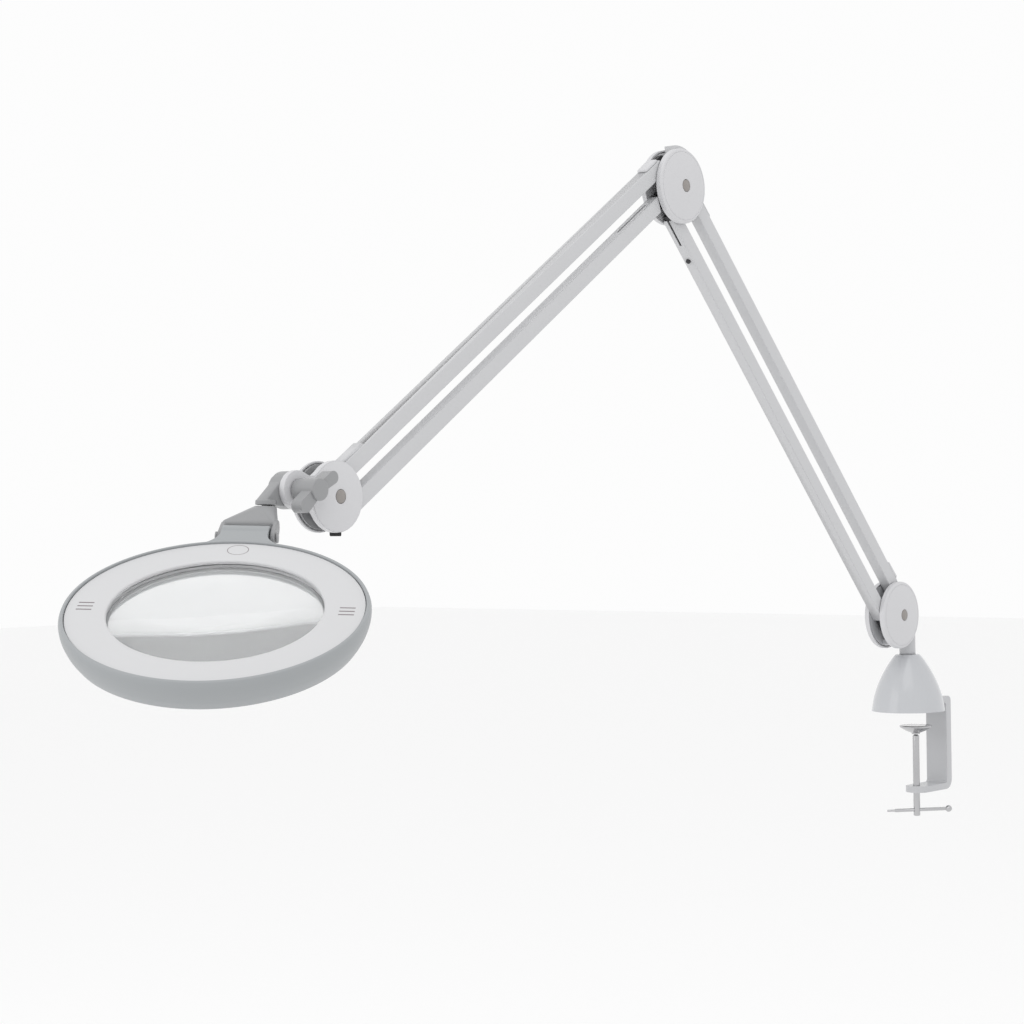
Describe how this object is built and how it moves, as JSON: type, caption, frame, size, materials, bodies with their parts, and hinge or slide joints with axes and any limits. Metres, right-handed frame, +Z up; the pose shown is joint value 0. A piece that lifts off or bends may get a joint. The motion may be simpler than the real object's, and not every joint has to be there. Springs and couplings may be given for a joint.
{
  "type": "magnifying lamp",
  "caption": "Clamp-on magnifying lamp: round lens head with ring light on a two-link balanced arm, swivel mast and screw clamp.",
  "frame": {"origin": "centre of the jaw's grip face, where the lamp sits on the bench top", "axes": "+Z up along the mast; the arm lies in the XZ plane with the lens head towards -X; +Y is the arm's rear side"},
  "size_m": [1.386, 0.2581, 0.7445],
  "materials": {
    "arm_white": "satin off-white powder coat",
    "cover_white": "satin",
    "cap_grey": "satin",
    "joint_grey": "satin grey paint on a casting",
    "head_grey": "satin",
    "plate_white": "satin gloss",
    "bell_white": "gloss enamel",
    "clamp_white": "satin paint on a casting",
    "chrome": "polished",
    "steel": "plated",
    "dark_steel": "black satin",
    "rubber": "matt",
    "glass": "polished",
    "diffuser": "opal",
    "board": "solder mask"
  },
  "bodies": {
    "clamp": {"bench_clamp": "clamp_white", "jaw_pad": "rubber", "pivot_bush": "steel", "bush_bolt": "steel", "bell_cover": "bell_white"},
    "mast": {"mast_knuckle": "clamp_white", "lower_cover_front": "cover_white", "lower_cover_rear": "cover_white", "lower_centre_bolt": "cap_grey", "lower_main_pivot": "dark_steel", "lower_link_pivot": "dark_steel"},
    "lower_arm": {"lower_main_tube": "arm_white", "lower_main_base_fitting": "dark_steel", "lower_main_elbow_fitting": "dark_steel", "lower_spring": "steel", "lower_spring_screw": "dark_steel"},
    "lower_link": {"lower_link_tube": "arm_white", "lower_link_base_fitting": "dark_steel", "lower_link_elbow_fitting": "dark_steel", "lower_cable_cover": "cover_white"},
    "elbow": {"elbow_bracket": "dark_steel", "elbow_cover_front": "cover_white", "elbow_cover_rear": "cover_white", "elbow_centre_bolt": "cap_grey", "elbow_lower_main_stud": "dark_steel", "elbow_lower_link_stud": "dark_steel", "elbow_upper_link_stud": "dark_steel"},
    "upper_arm": {"upper_main_tube": "arm_white", "upper_main_elbow_fitting": "dark_steel", "upper_main_head_fitting": "dark_steel", "upper_spring": "steel", "upper_spring_screw": "dark_steel"},
    "upper_link": {"upper_link_tube": "arm_white", "upper_link_elbow_fitting": "dark_steel", "upper_link_head_fitting": "dark_steel", "upper_cable_cover": "cover_white"},
    "head_joint": {"head_bracket": "joint_grey", "head_cover_front": "cover_white", "head_cover_rear": "cover_white", "head_cap": "cap_grey", "head_main_pivot": "dark_steel", "head_link_pivot": "dark_steel", "tilt_bolt": "steel"},
    "knob": {"tilt_knob": "joint_grey"},
    "tilt": {"tilt_block": "joint_grey", "swivel_pin": "steel"},
    "yoke": {"yoke": "joint_grey", "nod_screw_left": "steel", "nod_screw_right": "steel"},
    "head": {"head_casing": "head_grey", "top_plate": "plate_white", "lens": "glass", "lens_gasket": "rubber", "lens_ring": "head_grey", "led_board": "board", "diffuser_ring": "diffuser", "touch_sensor": "board"},
    "pad": {"screw_pad": "chrome"},
    "screw": {"clamp_screw": "chrome"},
    "bar": {"tommy_bar": "chrome"}
  },
  "joints": [
    {"name": "mast_swivel", "type": "hinge", "parent": "clamp", "child": "mast", "pos_m": [0, 0, 0.045], "axis": [0, 0, 1], "continuous": true},
    {"name": "lower_arm_lift", "type": "hinge", "parent": "mast", "child": "lower_arm", "pos_m": [-0.04638, 0, 0.10238], "axis": [0, -1, 0], "range_deg": [-16, 30]},
    {"name": "lower_link_turn", "type": "hinge", "parent": "mast", "child": "lower_link", "pos_m": [-0.01737, 0, 0.12905], "axis": [0, -1, 0], "range_deg": [-16, 30]},
    {"name": "elbow_level", "type": "hinge", "parent": "lower_arm", "child": "elbow", "pos_m": [-0.4676, 0, 0.56046], "axis": [0, -1, 0], "range_deg": [-30, 16]},
    {"name": "upper_arm_lift", "type": "hinge", "parent": "elbow", "child": "upper_arm", "pos_m": [-0.44978, 0, 0.57684], "axis": [0, -1, 0], "range_deg": [-45, 14]},
    {"name": "upper_link_turn", "type": "hinge", "parent": "elbow", "child": "upper_link", "pos_m": [-0.46632, 0, 0.60163], "axis": [0, -1, 0], "range_deg": [-45, 14]},
    {"name": "head_level", "type": "hinge", "parent": "upper_arm", "child": "head_joint", "pos_m": [-0.95711, 0, 0.23849], "axis": [0, -1, 0], "range_deg": [-14, 45]},
    {"name": "head_tilt", "type": "hinge", "parent": "head_joint", "child": "tilt", "pos_m": [-1.01804, 0, 0.26303], "axis": [0, -1, 0], "range_deg": [-50, 50]},
    {"name": "knob_turn", "type": "hinge", "parent": "head_joint", "child": "knob", "pos_m": [-1.01804, -0.025, 0.26303], "axis": [0, -1, 0], "continuous": true},
    {"name": "head_swivel", "type": "hinge", "parent": "tilt", "child": "yoke", "pos_m": [-1.0445, 0, 0.25], "axis": [0.0558, 0, 0.9984], "range_deg": [-75, 40]},
    {"name": "head_nod", "type": "hinge", "parent": "yoke", "child": "head", "pos_m": [-1.08079, -0.01332, 0.22317], "axis": [-0.6017, 0.798, 0.0336], "range_deg": [-35, 35]},
    {"name": "screw_travel", "type": "slide", "parent": "clamp", "child": "pad", "axis": [0, 0, 1], "range_m": [-0.06, 0.016]},
    {"name": "screw_turn", "type": "hinge", "parent": "pad", "child": "screw", "pos_m": [0.016, 0, -0.06], "axis": [0, 0, 1], "range_deg": [-10801, 2881]},
    {"name": "bar_slide", "type": "slide", "parent": "screw", "child": "bar", "axis": [0.6426, -0.7658, 0.0262], "range_m": [-0.028, 0.02]}
  ],
  "couplings": [
    {"joint": "lower_link_turn", "follows": "lower_arm_lift", "ratio": 1},
    {"joint": "elbow_level", "follows": "lower_arm_lift", "ratio": -1},
    {"joint": "upper_link_turn", "follows": "upper_arm_lift", "ratio": 1},
    {"joint": "head_level", "follows": "upper_arm_lift", "ratio": -1},
    {"joint": "screw_turn", "follows": "screw_travel", "rad_per_m": 3141.6}
  ]
}
